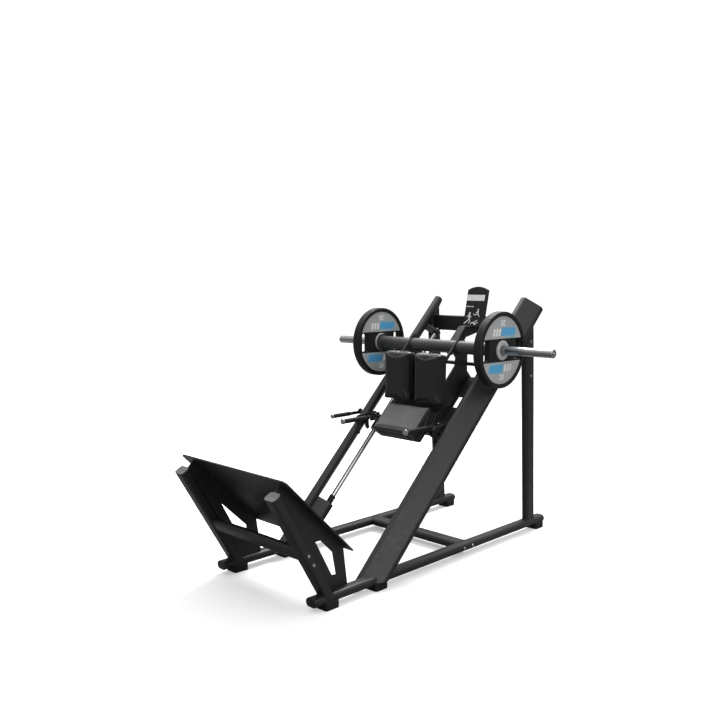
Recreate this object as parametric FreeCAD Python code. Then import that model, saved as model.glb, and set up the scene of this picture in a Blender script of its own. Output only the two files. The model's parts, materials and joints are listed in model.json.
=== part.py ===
import FreeCAD, Part
import math
import os

# Plate-loaded inclined leg press (hack squat carriage on two guide rods).
# Millimetres.  +Z up, the machine's front (foot plate end) faces -Y, the left side of a user is +X.
# The layout below is measured from the middle of the base rails.  export() then carries every solid
# by ROW_SHIFT, which puts the origin on the floor under the middle of the whole machine.
#
# Everything on the incline is modelled in a slope frame (x, s, u): s runs up the slope, u stands
# square to it.  on_slope() turns that frame by the incline angle and carries it to the beam foot.

V = FreeCAD.Vector
ORIGIN = V(0, 0, 0)
X_AXIS = V(1, 0, 0)
Y_AXIS = V(0, 1, 0)
Z_AXIS = V(0, 0, 1)

ROW_SHIFT = V(0, 127.1, 0)

# ---- driving dimensions: slope frame ----
INCLINE = 45.0
BEAM_FOOT = V(0, -579, 85)

# ---- driving dimensions: base ----
RAIL_X = 386.0
RAIL_WIDTH = 78.0
RAIL_HEIGHT = 50.0
RAIL_HALF_LENGTH = 1041.0
FOOT_HEIGHT = 30.0
RAIL_Z = FOOT_HEIGHT + RAIL_HEIGHT / 2
WALL = 3.0
FOOT_LENGTH = 96.0
FOOT_WIDTH = 88.0
FOOT_POSITIONS = (-935.0, -570.0, 988.0)
CROSSBAR_Y = 203.0
CROSSBAR_DEPTH = 100.0
BOLT_RADIUS = 9.0
BOLT_HEAD = 6.0

# ---- driving dimensions: beams, posts and top ----
BEAM_X = 389.0
BEAM_WIDTH = 158.0
BEAM_THICKNESS = 56.0
BEAM_ROLL = 45.0
BEAM_TOP_S = 1996.0
BEAM_WALL = 4.0
POST_WIDTH = 50.0
POST_DEPTH = 100.0
POST_FOOT_Y = 904.0
POST_FOOT_Z = 85.0
POST_LEAN = 4.4
TOP_BEAM_Y = 800.0
TOP_BEAM_Z = 1369.0
TOP_BEAM_DEPTH = 50.0
TOP_BEAM_HEIGHT = 100.0
SPINE_SIZE = 60.0
SPINE_U = 18.0
SPINE_BOTTOM_S = 1585.0
SPINE_TOP_Z = 1360.0

# ---- driving dimensions: instruction board ----
SIGN_HALF_WIDTH = 82.0
SIGN_THICKNESS = 16.0
SIGN_HEIGHT = 268.0
SIGN_ARCH = 22.0
SIGN_LEAN = 11.6
SIGN_FOOT = V(0, 742, 1351)

# ---- driving dimensions: foot plate and its stand ----
SUPPORT_CAP = V(0, -1278, 655)
SUPPORT_ANGLE = 60.5
SUPPORT_WIDTH = 76.0
SUPPORT_DEPTH = 58.0
SUPPORT_CORNER = 18.0
SUPPORT_BOLTS = (381.0, 445.0)
SUPPORT_LENGTH = 700.0
CAP_THICKNESS = 4.0
FOOT_CROSS_DROP = 388.0
FOOT_CROSS_HEIGHT = 80.0
FOOT_CROSS_DEPTH = 44.0
PLATE_HALF_WIDTH = 440.0
PLATE_CORNER = 25.0
PLATE_S = -15.0
PLATE_U_LOW = 298.0
PLATE_U_HIGH = 923.0
PLATE_THICKNESS = 8.0
GUSSET_THICKNESS = 8.0
GUSSET_X = 368.0
GUSSET_WINDOW = ((-1001, 366), (-967, 366), (-879, 278), (-856, 152), (-888, 156))
GUSSET_WINDOW_RIGHT = ((-1048, 430), (-876, 262), (-876, 244), (-976, 292))
PLATE_BOLT_X = 338.0
PLATE_BOLT_U = (430.0, 746.0)

# ---- driving dimensions: guide rods ----
ROD_X = 318.0
ROD_U = -75.0
ROD_RADIUS = 15.0
ROD_START_S = 325.0
ROD_END_S = 1825.0
ROD_BRACKET_LOW = (225.0, 350.0)
ROD_BRACKET_HIGH = (1790.0, 1805.0)
ROD_BRACKET_RADIUS = 34.0
BUMPER_RADIUS = 20.0
BUMPER_LENGTH = 58.0

# ---- driving dimensions: carriage ----
TUBE_S = 1488.0
TUBE_U = 158.0
TUBE_RADIUS = 40.0
TUBE_HALF_LENGTH = 452.0
COLLAR_RADIUS = 54.0
COLLAR_LENGTH = 9.0
HORN_RADIUS = 25.0
HORN_TIP_X = 858.0
HORN_INSIDE = 120.0
HORN_RELIEF = 1.0
SIDE_PLATE_X = 187.0
SIDE_PLATE_THICKNESS = 10.0
HOUSING_S = (982.0, 1400.0)
HOUSING_RADIUS = 31.0
HOUSING_LENGTH = 84.0
LINER_RADIUS = 22.0
FIT_CLEARANCE = 0.05
TIE_ROD_S = 1476.0
TIE_ROD_U = 18.0
TIE_ROD_RADIUS = 12.0
CROSS_TUBES = ((968.0, -22.0), (1110.0, -20.0))
CROSS_TUBE_SIZE = (50.0, 40.0)
ARM_TOP_U = ROD_U + 22.0
WING_OUTER_X = 290.0
WING_S = (962.0, 1424.0)
WING_THICKNESS = 6.0
WING_SLIT_X = (204.0, 240.0)
WING_SLIT_S = (1180.0, 1264.0)

# ---- driving dimensions: pads ----
PAD_INNER_X = 16.0
PAD_OUTER_X = 232.0
PAD_FRONT_Y = 120.0
PAD_THICKNESS = 62.0
PAD_BOTTOM_Z = 912.0
PAD_TOP_Z = 1222.0
BOARD_THICKNESS = 15.0
MOUNT_THICKNESS = 8.0
MOUNT_APRON_HALF_WIDTH = 181.0
MOUNT_APRON_Z = 870.0
BACK_PAD_HALF_WIDTH = 178.0
BACK_PAD_S = (852.0, 1074.0)
BACK_PAD_U = (14.0, 96.0)

# ---- driving dimensions: handles and catches ----
HANDLE_X = 259.0
HANDLE_Z = 799.0
HANDLE_TIP_Y = -209.0
GRIP_LENGTH = 205.0
GRIP_RADIUS = 15.0
HANDLE_RADIUS = 10.0
STUB_S = 985.0
PIVOT_Y = 136.0
PIVOT_Z = 805.0
HOOK_X = 316.0
HOOK_THICKNESS = 12.0
PIN_RADIUS = 10.0
LEVER_X = 448.0
LEVER_THICKNESS = 7.0
LEVER_TIP_Y = -121.0
LEVER_GRIP_LENGTH = 165.0
LEVER_GRIP_RADIUS = 13.5
LEVER_RADIUS = 9.0
HANDLE_TIP = V(HANDLE_X, HANDLE_TIP_Y, HANDLE_Z)
LEVER_TIP = V(LEVER_X, LEVER_TIP_Y, PIVOT_Z - 6)
CAP_RIM = 3.0

# ---- driving dimensions: weight plates ----
PLATE_RADIUS = 225.0
PLATE_INNER_X = 464.0
PLATE_RIM_WIDTH = 54.0
PLATE_WEB_WIDTH = 34.0
PLATE_RIM_INNER = 202.0
SLOT_REACH = (125.0, 180.0)
SLOT_HALF_HEIGHT = 60.0
HUB_RADIUS = 58.0
HUB_BORE = 25.5
HUB_RECESS_RADIUS = 35.0
HUB_RECESS_DEPTH = 6.0
BAND_HALF_HEIGHT = 68.0
INLAY = 2.0


# ---- small helpers ----
def oval_bar(width, height, length, wall=0.0):
    """A flat-oval tube along +Y, width in X and height in Z, centred on the Y axis."""
    bar = Part.Face(oval_wire(width, height)).extrude(V(0, length, 0))
    if wall:
        bore = Part.Face(oval_wire(width - 2 * wall, height - 2 * wall)).extrude(V(0, length, 0))
        bar = bar.cut(bore)
    return bar


def oval_wire(width, height):
    radius = min(width, height) / 2
    run = max(width, height) / 2 - radius
    ends = (V(-run, 0, radius), V(run, 0, radius), V(run, 0, -radius), V(-run, 0, -radius))
    tips = (V(run + radius, 0, 0), V(-run - radius, 0, 0))
    wire = Part.Wire([
        Part.LineSegment(ends[0], ends[1]).toShape(),
        Part.Arc(ends[1], tips[0], ends[2]).toShape(),
        Part.LineSegment(ends[2], ends[3]).toShape(),
        Part.Arc(ends[3], tips[1], ends[0]).toShape(),
    ])
    if height > width:
        wire.rotate(ORIGIN, Y_AXIS, 90)
    return wire


def box(x_range, y_range, z_range):
    size = [abs(r[1] - r[0]) for r in (x_range, y_range, z_range)]
    corner = V(min(x_range), min(y_range), min(z_range))
    return Part.makeBox(size[0], size[1], size[2], corner)


def rounded_box(x_range, y_range, z_range, radius, axis):
    """A box whose four edges along one axis are rounded."""
    solid = box(x_range, y_range, z_range)
    along = [e for e in solid.Edges if abs(e.tangentAt(e.FirstParameter).dot(axis)) > 0.99]
    return solid.makeFillet(radius, along)


def soft_box(x_range, y_range, z_range, radius):
    solid = box(x_range, y_range, z_range)
    return solid.makeFillet(radius, solid.Edges)


def rod(start, axis, radius, length):
    return Part.makeCylinder(radius, length, start, axis)


def outline_plate(points, x_start, thickness):
    """A plate in a plane of constant X, cut from (y, z) points, or (s, u) points on the slope."""
    corners = [V(x_start, y, z) for y, z in points]
    face = Part.Face(Part.makePolygon(corners + corners[:1]))
    return face.extrude(V(thickness, 0, 0))


def round_edges(shape):
    return [edge for edge in shape.Edges if edge.Curve.TypeId == "Part::GeomCircle"]


def turned(shape, axis, angle):
    shape.rotate(ORIGIN, axis, angle)
    return shape


def moved(shape, offset):
    shape.translate(offset)
    return shape


def on_slope(shape):
    """From the slope frame (x, s, u) to the machine's frame."""
    return moved(turned(shape, X_AXIS, INCLINE), BEAM_FOOT)


def on_slope_point(x, s, u):
    cosine = math.cos(math.radians(INCLINE))
    sine = math.sin(math.radians(INCLINE))
    return BEAM_FOOT + V(x, s * cosine - u * sine, s * sine + u * cosine)


def mirrored(shape):
    return shape.mirror(ORIGIN, X_AXIS)


def biggest(shape):
    return max(shape.Solids, key=lambda solid: solid.Volume)


def export(name, *shapes):
    solids = [solid for shape in shapes for solid in shape.Solids]
    shape = solids[0] if len(solids) == 1 else Part.makeCompound(solids)
    if not shape.isValid():
        print("NOT VALID", name)
    shape = moved(shape.copy(), ROW_SHIFT)
    shape.exportStep("parts/" + name + ".step")


def export_pair(name, left, right=None):
    """The left part at +X and its twin at -X, each in its own node."""
    export(name + "_left", left)
    export(name + "_right", right or mirrored(left))


def bolt(head_base, axis, radius=BOLT_RADIUS, head=BOLT_HEAD):
    """A domed bolt head with a hexagon socket, on the face it clamps."""
    dome = rod(head_base, axis, radius, head)
    outer = max(round_edges(dome), key=lambda e: (e.Curve.Center - head_base).dot(axis))
    dome = dome.makeFillet(head * 0.45, [outer])
    socket_side = radius * 0.5
    corners = [V(socket_side * math.cos(math.radians(60 * i)),
                 socket_side * math.sin(math.radians(60 * i)), 0) for i in range(7)]
    socket = Part.Face(Part.makePolygon(corners)).extrude(V(0, 0, head))
    socket.Placement = FreeCAD.Placement(head_base + axis * (head * 0.45),
                                         FreeCAD.Rotation(Z_AXIS, axis))
    return dome.cut(socket)


# ---- envelopes that neighbouring tubes are cut to ----
def rail_outline(side=1):
    rail = oval_bar(RAIL_WIDTH, RAIL_HEIGHT, 2 * RAIL_HALF_LENGTH)
    return moved(rail, V(side * RAIL_X, -RAIL_HALF_LENGTH, RAIL_Z))


def beam_bar(start_s, end_s, wall=0.0):
    bar = oval_bar(BEAM_WIDTH, BEAM_THICKNESS, end_s - start_s, wall)
    return moved(turned(bar, Y_AXIS, BEAM_ROLL), V(BEAM_X, start_s, 0))


def beam_outline():
    return on_slope(beam_bar(-150, 2200))


def post_bar():
    height = 1500.0
    bar = oval_bar(POST_WIDTH, POST_DEPTH, height)
    bar = moved(bar, V(0, -25, 0))
    bar = turned(bar, X_AXIS, 90 + POST_LEAN)
    return moved(bar, V(RAIL_X, POST_FOOT_Y, POST_FOOT_Z))


# ---- base ----
def base_rail():
    rail = oval_bar(RAIL_WIDTH, RAIL_HEIGHT, 2 * RAIL_HALF_LENGTH, WALL)
    return moved(rail, V(RAIL_X, -RAIL_HALF_LENGTH, RAIL_Z))


def rail_end_cap(y_end, outward):
    disc = oval_bar(RAIL_WIDTH, RAIL_HEIGHT, 8)
    disc = disc.makeFillet(4, disc.Faces[-1].Edges)
    plug = moved(oval_bar(RAIL_WIDTH - 2 * WALL, RAIL_HEIGHT - 2 * WALL, 22), V(0, -22, 0))
    cap = disc.fuse(plug)
    if outward < 0:
        cap = turned(cap, Z_AXIS, 180)
    return moved(cap, V(RAIL_X, y_end, RAIL_Z))


def rubber_foot(y_middle):
    half = FOOT_LENGTH / 2
    foot = rounded_box((RAIL_X - FOOT_WIDTH / 2, RAIL_X + FOOT_WIDTH / 2),
                       (y_middle - half, y_middle + half), (0, FOOT_HEIGHT + 14), 14, Z_AXIS)
    rim = [e for e in foot.Edges if e.BoundBox.ZMin > FOOT_HEIGHT]
    foot = foot.makeChamfer(5, rim)
    return biggest(foot.cut(rail_outline()))


def base_crossbar():
    bar = oval_bar(CROSSBAR_DEPTH, RAIL_HEIGHT, 2 * RAIL_X)
    bar = moved(turned(bar, Z_AXIS, -90), V(-RAIL_X, CROSSBAR_Y, RAIL_Z))
    return biggest(bar.cut(rail_outline()).cut(rail_outline(-1)))


# ---- foot plate and its stand ----
def support_frame(shape):
    """From a frame with +Y down the support and +Z to its rear, to the machine's frame."""
    return moved(turned(shape, X_AXIS, -SUPPORT_ANGLE), SUPPORT_CAP)


def support_section(length, inset=0.0):
    half_width, half_depth = SUPPORT_WIDTH / 2 - inset, SUPPORT_DEPTH / 2 - inset
    return rounded_box((-half_width, half_width), (0, length), (-half_depth, half_depth),
                       SUPPORT_CORNER - inset, Y_AXIS)


def support_bar(start, length, side=1):
    return support_frame(moved(support_section(length), V(side * RAIL_X, start, 0)))


def foot_support():
    bar = support_section(SUPPORT_LENGTH).cut(support_section(SUPPORT_LENGTH, WALL))
    bar = support_frame(moved(bar, V(RAIL_X, CAP_THICKNESS, 0)))
    cut = bar.cut(rail_outline())
    cut = cut.cut(box((0, 600), (-2000, 0), (-400, RAIL_Z)))
    return biggest(cut)


def support_cap():
    plug = moved(support_section(16, WALL), V(0, CAP_THICKNESS, 0))
    return support_frame(moved(support_section(CAP_THICKNESS).fuse(plug), V(RAIL_X, 0, 0)))


def foot_cross_tube():
    bar = oval_bar(FOOT_CROSS_HEIGHT, FOOT_CROSS_DEPTH, 2 * RAIL_X, WALL)
    bar = support_frame(moved(turned(bar, Z_AXIS, -90), V(-RAIL_X, FOOT_CROSS_DROP, 0)))
    for side in (-1, 1):
        bar = bar.cut(support_bar(0, SUPPORT_LENGTH, side=side))
    return biggest(bar)


def foot_gusset(window):
    rear = SUPPORT_DEPTH / 2
    down = V(0, math.cos(math.radians(SUPPORT_ANGLE)), -math.sin(math.radians(SUPPORT_ANGLE)))
    back = V(0, -down.z, down.y)

    def beside_support(along, off):
        point = SUPPORT_CAP + down * along + back * (rear + off)
        return (point.y, point.z)

    def under_plate(u, off=0.0):
        point = on_slope_point(0, PLATE_S - PLATE_THICKNESS / 2 - off, u)
        return (point.y, point.z)

    top = RAIL_Z + RAIL_HEIGHT / 2
    to_rail = (SUPPORT_CAP.z + back.z * rear - top) / -down.z
    outline = [under_plate(884), under_plate(302), (-777, top - 6), beside_support(to_rail + 6, -10),
               beside_support(6, -10)]
    plate = outline_plate(outline, GUSSET_X - GUSSET_THICKNESS / 2, GUSSET_THICKNESS)
    plate = biggest(plate.cut(rail_outline()).cut(support_bar(0, SUPPORT_LENGTH)))
    return plate.cut(outline_plate(window, GUSSET_X - GUSSET_THICKNESS, 2 * GUSSET_THICKNESS))


def foot_plate():
    half = PLATE_THICKNESS / 2
    plate = box((-PLATE_HALF_WIDTH, PLATE_HALF_WIDTH), (PLATE_S - half, PLATE_S + half),
                (PLATE_U_LOW, PLATE_U_HIGH))
    corners = [e for e in plate.Edges
               if abs(e.tangentAt(e.FirstParameter).y) > 0.99 and e.BoundBox.ZMin > PLATE_U_LOW + 10]
    plate = plate.makeFillet(PLATE_CORNER, corners)
    return on_slope(plate)


def foot_mat():
    """The ribbed rubber tread on the side that the feet press."""
    start = PLATE_S + PLATE_THICKNESS / 2
    mat = box((-392, 392), (start, start + 4), (PLATE_U_LOW + 30, PLATE_U_HIGH - 45))
    for row in range(9):
        low = PLATE_U_LOW + 58 + row * 58
        groove = box((-372, 372), (start + 2.5, start + 5), (low, low + 8))
        mat = mat.cut(groove)
    return on_slope(mat)


# ---- main beams, posts, top ----
def main_beam():
    beam = on_slope(beam_bar(-120, BEAM_TOP_S, BEAM_WALL))
    beam = beam.cut(rail_outline())
    beam = beam.cut(box((0, 700), (-1500, 0), (-400, FOOT_HEIGHT + 20)))
    pin = rod(V(HOOK_X - 40, PIVOT_Y, PIVOT_Z), X_AXIS, PIN_RADIUS + FIT_CLEARANCE, 90)
    return biggest(beam.cut(pin))


def main_beam_right():
    beam = main_beam()
    pin = rod(V(HOOK_X - 40, PIVOT_Y, PIVOT_Z), X_AXIS, PIN_RADIUS + FIT_CLEARANCE, 200)
    return mirrored(biggest(beam.cut(pin)))


def beam_cap():
    cap = beam_bar(BEAM_TOP_S, BEAM_TOP_S + 16)
    top = max(cap.Faces, key=lambda face: face.CenterOfMass.y)
    cap = cap.makeFillet(9, top.Edges)
    plug = oval_bar(BEAM_WIDTH - 2 * BEAM_WALL, BEAM_THICKNESS - 2 * BEAM_WALL, 18)
    plug = moved(turned(plug, Y_AXIS, BEAM_ROLL), V(BEAM_X, BEAM_TOP_S - 18, 0))
    return on_slope(cap.fuse(plug))


def rear_post():
    post = post_bar().cut(rail_outline())
    post = post.cut(beam_outline())
    post = post.cut(box((0, 700), (500, 1500), (-100, RAIL_Z + 14)))
    pieces = sorted(post.Solids, key=lambda solid: solid.CenterOfMass.z)
    return max(pieces[:2], key=lambda solid: solid.Volume)


def top_crossbeam():
    inner_x = RAIL_X - POST_WIDTH / 2
    half_y = TOP_BEAM_DEPTH / 2
    half_z = TOP_BEAM_HEIGHT / 2
    beam = rounded_box((-inner_x, inner_x), (TOP_BEAM_Y - half_y, TOP_BEAM_Y + half_y),
                       (TOP_BEAM_Z - half_z, TOP_BEAM_Z + half_z), 7, X_AXIS)
    bore = box((-inner_x, inner_x), (TOP_BEAM_Y - half_y + WALL, TOP_BEAM_Y + half_y - WALL),
               (TOP_BEAM_Z - half_z + WALL, TOP_BEAM_Z + half_z - WALL))
    beam = beam.cut(bore)
    for post in (post_bar(), mirrored(post_bar())):
        beam = beam.cut(post)
    return biggest(beam)


def spine_tube():
    """The middle bar below the top crossbeam, with the two cheeks that weld it there."""
    half = SPINE_SIZE / 2
    bar = rounded_box((-half, half), (SPINE_BOTTOM_S, 1950), (SPINE_U - half, SPINE_U + half),
                      6, Y_AXIS)
    bar = on_slope(bar).cut(box((-200, 200), (0, 1500), (SPINE_TOP_Z, 2000)))
    front = TOP_BEAM_Y - TOP_BEAM_DEPTH / 2
    low = TOP_BEAM_Z - TOP_BEAM_HEIGHT / 2 + 4
    cheek_outline = [(front, low), (front, low + 20), (655, low + 20), (600, low - 30), (640, low - 30)]
    for x_start in (-half - 8, half):
        bar = bar.fuse(outline_plate(cheek_outline, x_start, 8))
    return bar.removeSplitter()


def spine_bumper():
    middle = V(0, SPINE_BOTTOM_S, SPINE_U)
    pad = rod(middle, V(0, -1, 0), 22, 40)
    tip = min(pad.Faces, key=lambda face: face.CenterOfMass.y)
    pad = pad.makeFillet(7, tip.Edges)
    return on_slope(pad)


# ---- guide rods ----
def guide_rod():
    shaft = rod(V(ROD_X, ROD_START_S, ROD_U), Y_AXIS, ROD_RADIUS, ROD_END_S - ROD_START_S)
    return on_slope(shaft.makeChamfer(1.5, round_edges(shaft)))


def rod_bracket(s_range):
    """A block from the beam's inner face that holds the end of a guide rod."""
    length = s_range[1] - s_range[0]
    reach = math.hypot(BEAM_X - ROD_X, ROD_U)
    bar = box((-ROD_BRACKET_RADIUS, ROD_BRACKET_RADIUS), (0, length), (-reach, -BEAM_THICKNESS / 2))
    nose = rod(V(0, 0, -reach), Y_AXIS, ROD_BRACKET_RADIUS, length)
    bracket = turned(bar.fuse(nose).removeSplitter(), Y_AXIS, BEAM_ROLL)
    bracket = moved(bracket, V(BEAM_X, s_range[0], 0))
    bore = rod(V(ROD_X, ROD_START_S, ROD_U), Y_AXIS, ROD_RADIUS, ROD_END_S - ROD_START_S)
    return on_slope(biggest(bracket.cut(bore)))


def rod_bumper():
    start = ROD_BRACKET_LOW[1]
    stop = rod(V(ROD_X, start, ROD_U), Y_AXIS, BUMPER_RADIUS, BUMPER_LENGTH)
    for ring in range(2):
        place = start + BUMPER_LENGTH * (ring + 1) / 3
        outer = rod(V(ROD_X, place - 3, ROD_U), Y_AXIS, BUMPER_RADIUS + 1, 6)
        inner = rod(V(ROD_X, place - 3, ROD_U), Y_AXIS, BUMPER_RADIUS - 2, 6)
        stop = stop.cut(outer.cut(inner))
    bore = rod(V(ROD_X, start, ROD_U), Y_AXIS, ROD_RADIUS, BUMPER_LENGTH)
    return on_slope(stop.cut(bore))


# ---- instruction board ----
def sign_frame(shape):
    return moved(turned(shape, X_AXIS, -SIGN_LEAN), SIGN_FOOT)


def sign_board():
    shoulder = SIGN_HEIGHT - SIGN_ARCH
    outline = Part.Wire([
        Part.LineSegment(V(-SIGN_HALF_WIDTH, 0, 0), V(SIGN_HALF_WIDTH, 0, 0)).toShape(),
        Part.LineSegment(V(SIGN_HALF_WIDTH, 0, 0), V(SIGN_HALF_WIDTH, 0, shoulder)).toShape(),
        Part.Arc(V(SIGN_HALF_WIDTH, 0, shoulder), V(0, 0, SIGN_HEIGHT),
                 V(-SIGN_HALF_WIDTH, 0, shoulder)).toShape(),
        Part.LineSegment(V(-SIGN_HALF_WIDTH, 0, shoulder), V(-SIGN_HALF_WIDTH, 0, 0)).toShape(),
    ])
    board = Part.Face(outline).extrude(V(0, SIGN_THICKNESS, 0))
    front = [e for e in board.Edges if e.BoundBox.YMax < 0.01]
    return sign_frame(board.makeFillet(3, front))


def sign_bracket():
    """The wedge that leans the board against the top crossbeam."""
    front = TOP_BEAM_Y - TOP_BEAM_DEPTH / 2
    top = TOP_BEAM_Z + TOP_BEAM_HEIGHT / 2
    lean = math.tan(math.radians(SIGN_LEAN))
    back_at_low = SIGN_FOOT.y + SIGN_THICKNESS / math.cos(math.radians(SIGN_LEAN))
    upright = [(front + 26, top), (front + 32, top), (front + 32 + 14, top + 110),
               (back_at_low + (top + 110 - SIGN_FOOT.z) * lean, top + 110),
               (back_at_low + (top - SIGN_FOOT.z) * lean, top)]
    return outline_plate(upright, -26, 52)


# ---- carriage ----
def side_plate():
    """One cheek of the carriage, with the arms that carry its two bearing housings."""
    def behind_pad(u):
        pad_back = PAD_FRONT_Y + PAD_THICKNESS + BOARD_THICKNESS + MOUNT_THICKNESS
        return (u + (pad_back - BEAM_FOOT.y) * math.sqrt(2), u)

    outline = [(TUBE_S + 46, 204), behind_pad(204), behind_pad(22), (950, 22), (938, 10),
               (938, -44), (960, -68), (1440, -68), (1440, -8), (1508, 60), (TUBE_S + 66, 118),
               (TUBE_S + 66, 178)]
    plate = outline_plate(outline, SIDE_PLATE_X - SIDE_PLATE_THICKNESS / 2, SIDE_PLATE_THICKNESS)
    window = [(1424, 186), (behind_pad(168)[0] + 40, 186), (behind_pad(104)[0] + 40, 104),
              (1384, 104), (1424, 134)]
    plate = plate.cut(outline_plate(window, SIDE_PLATE_X - 20, 40))
    outer = SIDE_PLATE_X + SIDE_PLATE_THICKNESS / 2
    for housing_s in HOUSING_S:
        arm = rounded_box((outer, ROD_X), (housing_s - 24, housing_s + 24), (ROD_U - 14, ARM_TOP_U),
                          6, X_AXIS)
        lug = box((outer - SIDE_PLATE_THICKNESS, outer), (housing_s - 34, housing_s + 34),
                  (ROD_U - 18, ROD_U + 20))
        plate = plate.fuse([arm, lug])
    stub = rounded_box((outer, HANDLE_X + 20), (STUB_S - 20, STUB_S + 20), (-20, 20), 5, X_AXIS)
    plate = plate.fuse(stub)
    for housing_s in HOUSING_S:
        plate = plate.cut(rod(V(ROD_X, housing_s - 60, ROD_U), Y_AXIS, HOUSING_RADIUS, 120))
    plate = plate.cut(rod(V(0, TUBE_S, TUBE_U), X_AXIS, TUBE_RADIUS, 600))
    plate = plate.cut(rod(V(0, TIE_ROD_S, TIE_ROD_U), X_AXIS, TIE_ROD_RADIUS, 600))
    return on_slope(biggest(plate.removeSplitter()))


def weight_tube():
    tube = rod(V(-TUBE_HALF_LENGTH, TUBE_S, TUBE_U), X_AXIS, TUBE_RADIUS, 2 * TUBE_HALF_LENGTH)
    bore = rod(V(-TUBE_HALF_LENGTH, TUBE_S, TUBE_U), X_AXIS, TUBE_RADIUS - 5, 2 * TUBE_HALF_LENGTH)
    tube = tube.cut(bore)
    for x_start in (-TUBE_HALF_LENGTH - COLLAR_LENGTH, TUBE_HALF_LENGTH):
        collar = rod(V(x_start, TUBE_S, TUBE_U), X_AXIS, COLLAR_RADIUS, COLLAR_LENGTH)
        hole = rod(V(x_start, TUBE_S, TUBE_U), X_AXIS, HORN_RADIUS - HORN_RELIEF, COLLAR_LENGTH)
        tube = tube.fuse(collar.cut(hole))
    return on_slope(tube)


def weight_horn():
    """A horn; the stretch inside the tube and under its own plate is relieved a little."""
    inner = TUBE_HALF_LENGTH - HORN_INSIDE
    free_start = PLATE_INNER_X + PLATE_RIM_WIDTH + 1
    horn = rod(V(free_start, TUBE_S, TUBE_U), X_AXIS, HORN_RADIUS, HORN_TIP_X - free_start)
    rim = [edge for edge in round_edges(horn) if edge.Curve.Center.x > HORN_TIP_X - 1]
    root = rod(V(inner, TUBE_S, TUBE_U), X_AXIS, HORN_RADIUS - HORN_RELIEF, free_start - inner)
    return on_slope(horn.makeChamfer(2, rim).fuse(root))


def horn_cap():
    disc = rod(V(HORN_TIP_X, TUBE_S, TUBE_U), X_AXIS, 19, 3)
    bolt_head = rod(V(HORN_TIP_X + 3, TUBE_S, TUBE_U), X_AXIS, 8, 4)
    return on_slope(disc.fuse(bolt_head))


def bearing_housing(housing_s):
    start = housing_s - HOUSING_LENGTH / 2
    shell = rod(V(ROD_X, start, ROD_U), Y_AXIS, HOUSING_RADIUS, HOUSING_LENGTH)
    shell = shell.makeChamfer(2.5, round_edges(shell))
    return on_slope(shell.cut(rod(V(ROD_X, start, ROD_U), Y_AXIS, LINER_RADIUS, HOUSING_LENGTH)))


def bearing_liner(housing_s):
    start = housing_s - HOUSING_LENGTH / 2 + 1
    length = HOUSING_LENGTH - 2
    liner = rod(V(ROD_X, start, ROD_U), Y_AXIS, LINER_RADIUS, length)
    bore = rod(V(ROD_X, start, ROD_U), Y_AXIS, ROD_RADIUS + FIT_CLEARANCE, length)
    return on_slope(liner.cut(bore))


def tie_rod():
    reach = SIDE_PLATE_X + 108
    return on_slope(rod(V(-reach, TIE_ROD_S, TIE_ROD_U), X_AXIS, TIE_ROD_RADIUS, 2 * reach))


def carriage_wing():
    """The flat plate that ties the two arms of one cheek together."""
    inner_x = SIDE_PLATE_X + SIDE_PLATE_THICKNESS / 2
    u_range = (ARM_TOP_U, ARM_TOP_U + WING_THICKNESS)
    wing = rounded_box((inner_x, WING_OUTER_X), WING_S, u_range, 8, Z_AXIS)
    return on_slope(wing.cut(box(WING_SLIT_X, WING_SLIT_S, u_range)))


def carriage_cross_tube(middle_s, middle_u):
    reach = SIDE_PLATE_X - SIDE_PLATE_THICKNESS / 2
    half_s, half_u = CROSS_TUBE_SIZE[0] / 2, CROSS_TUBE_SIZE[1] / 2
    tube = rounded_box((-reach, reach), (middle_s - half_s, middle_s + half_s),
                       (middle_u - half_u, middle_u + half_u), 5, X_AXIS)
    bore = box((-reach, reach), (middle_s - half_s + WALL, middle_s + half_s - WALL),
               (middle_u - half_u + WALL, middle_u + half_u - WALL))
    return on_slope(tube.cut(bore))


def pad_mount():
    back = PAD_FRONT_Y + PAD_THICKNESS + BOARD_THICKNESS
    reach = SIDE_PLATE_X + SIDE_PLATE_THICKNESS / 2 + 14
    y_range = (back, back + MOUNT_THICKNESS)
    plate = rounded_box((-reach, reach), y_range, (PAD_BOTTOM_Z + 45, PAD_TOP_Z - 40), 12, Y_AXIS)
    apron = box((-MOUNT_APRON_HALF_WIDTH, MOUNT_APRON_HALF_WIDTH), y_range,
                (MOUNT_APRON_Z, PAD_BOTTOM_Z + 80))
    return plate.fuse(apron).removeSplitter()


def shoulder_pad():
    return soft_box((PAD_INNER_X, PAD_OUTER_X), (PAD_FRONT_Y, PAD_FRONT_Y + PAD_THICKNESS),
                    (PAD_BOTTOM_Z, PAD_TOP_Z), 16)


def shoulder_board():
    start = PAD_FRONT_Y + PAD_THICKNESS
    return rounded_box((PAD_INNER_X + 8, PAD_OUTER_X - 8), (start, start + BOARD_THICKNESS),
                       (PAD_BOTTOM_Z + 10, PAD_TOP_Z - 10), 14, Y_AXIS)


def back_pad():
    pad = soft_box((-BACK_PAD_HALF_WIDTH, BACK_PAD_HALF_WIDTH), BACK_PAD_S, BACK_PAD_U, 15)
    return on_slope(pad)


def back_pad_board():
    reach = BACK_PAD_HALF_WIDTH - 8
    board = rounded_box((-reach, reach), (BACK_PAD_S[0] + 10, BACK_PAD_S[1] - 10),
                        (BACK_PAD_U[0] - BOARD_THICKNESS, BACK_PAD_U[0]), 12, Z_AXIS)
    return on_slope(board)


# ---- handles ----
def stub_envelope():
    return on_slope(box((SIDE_PLATE_X, HANDLE_X + 20), (STUB_S - 20, STUB_S + 20), (-20, 20)))


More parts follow.
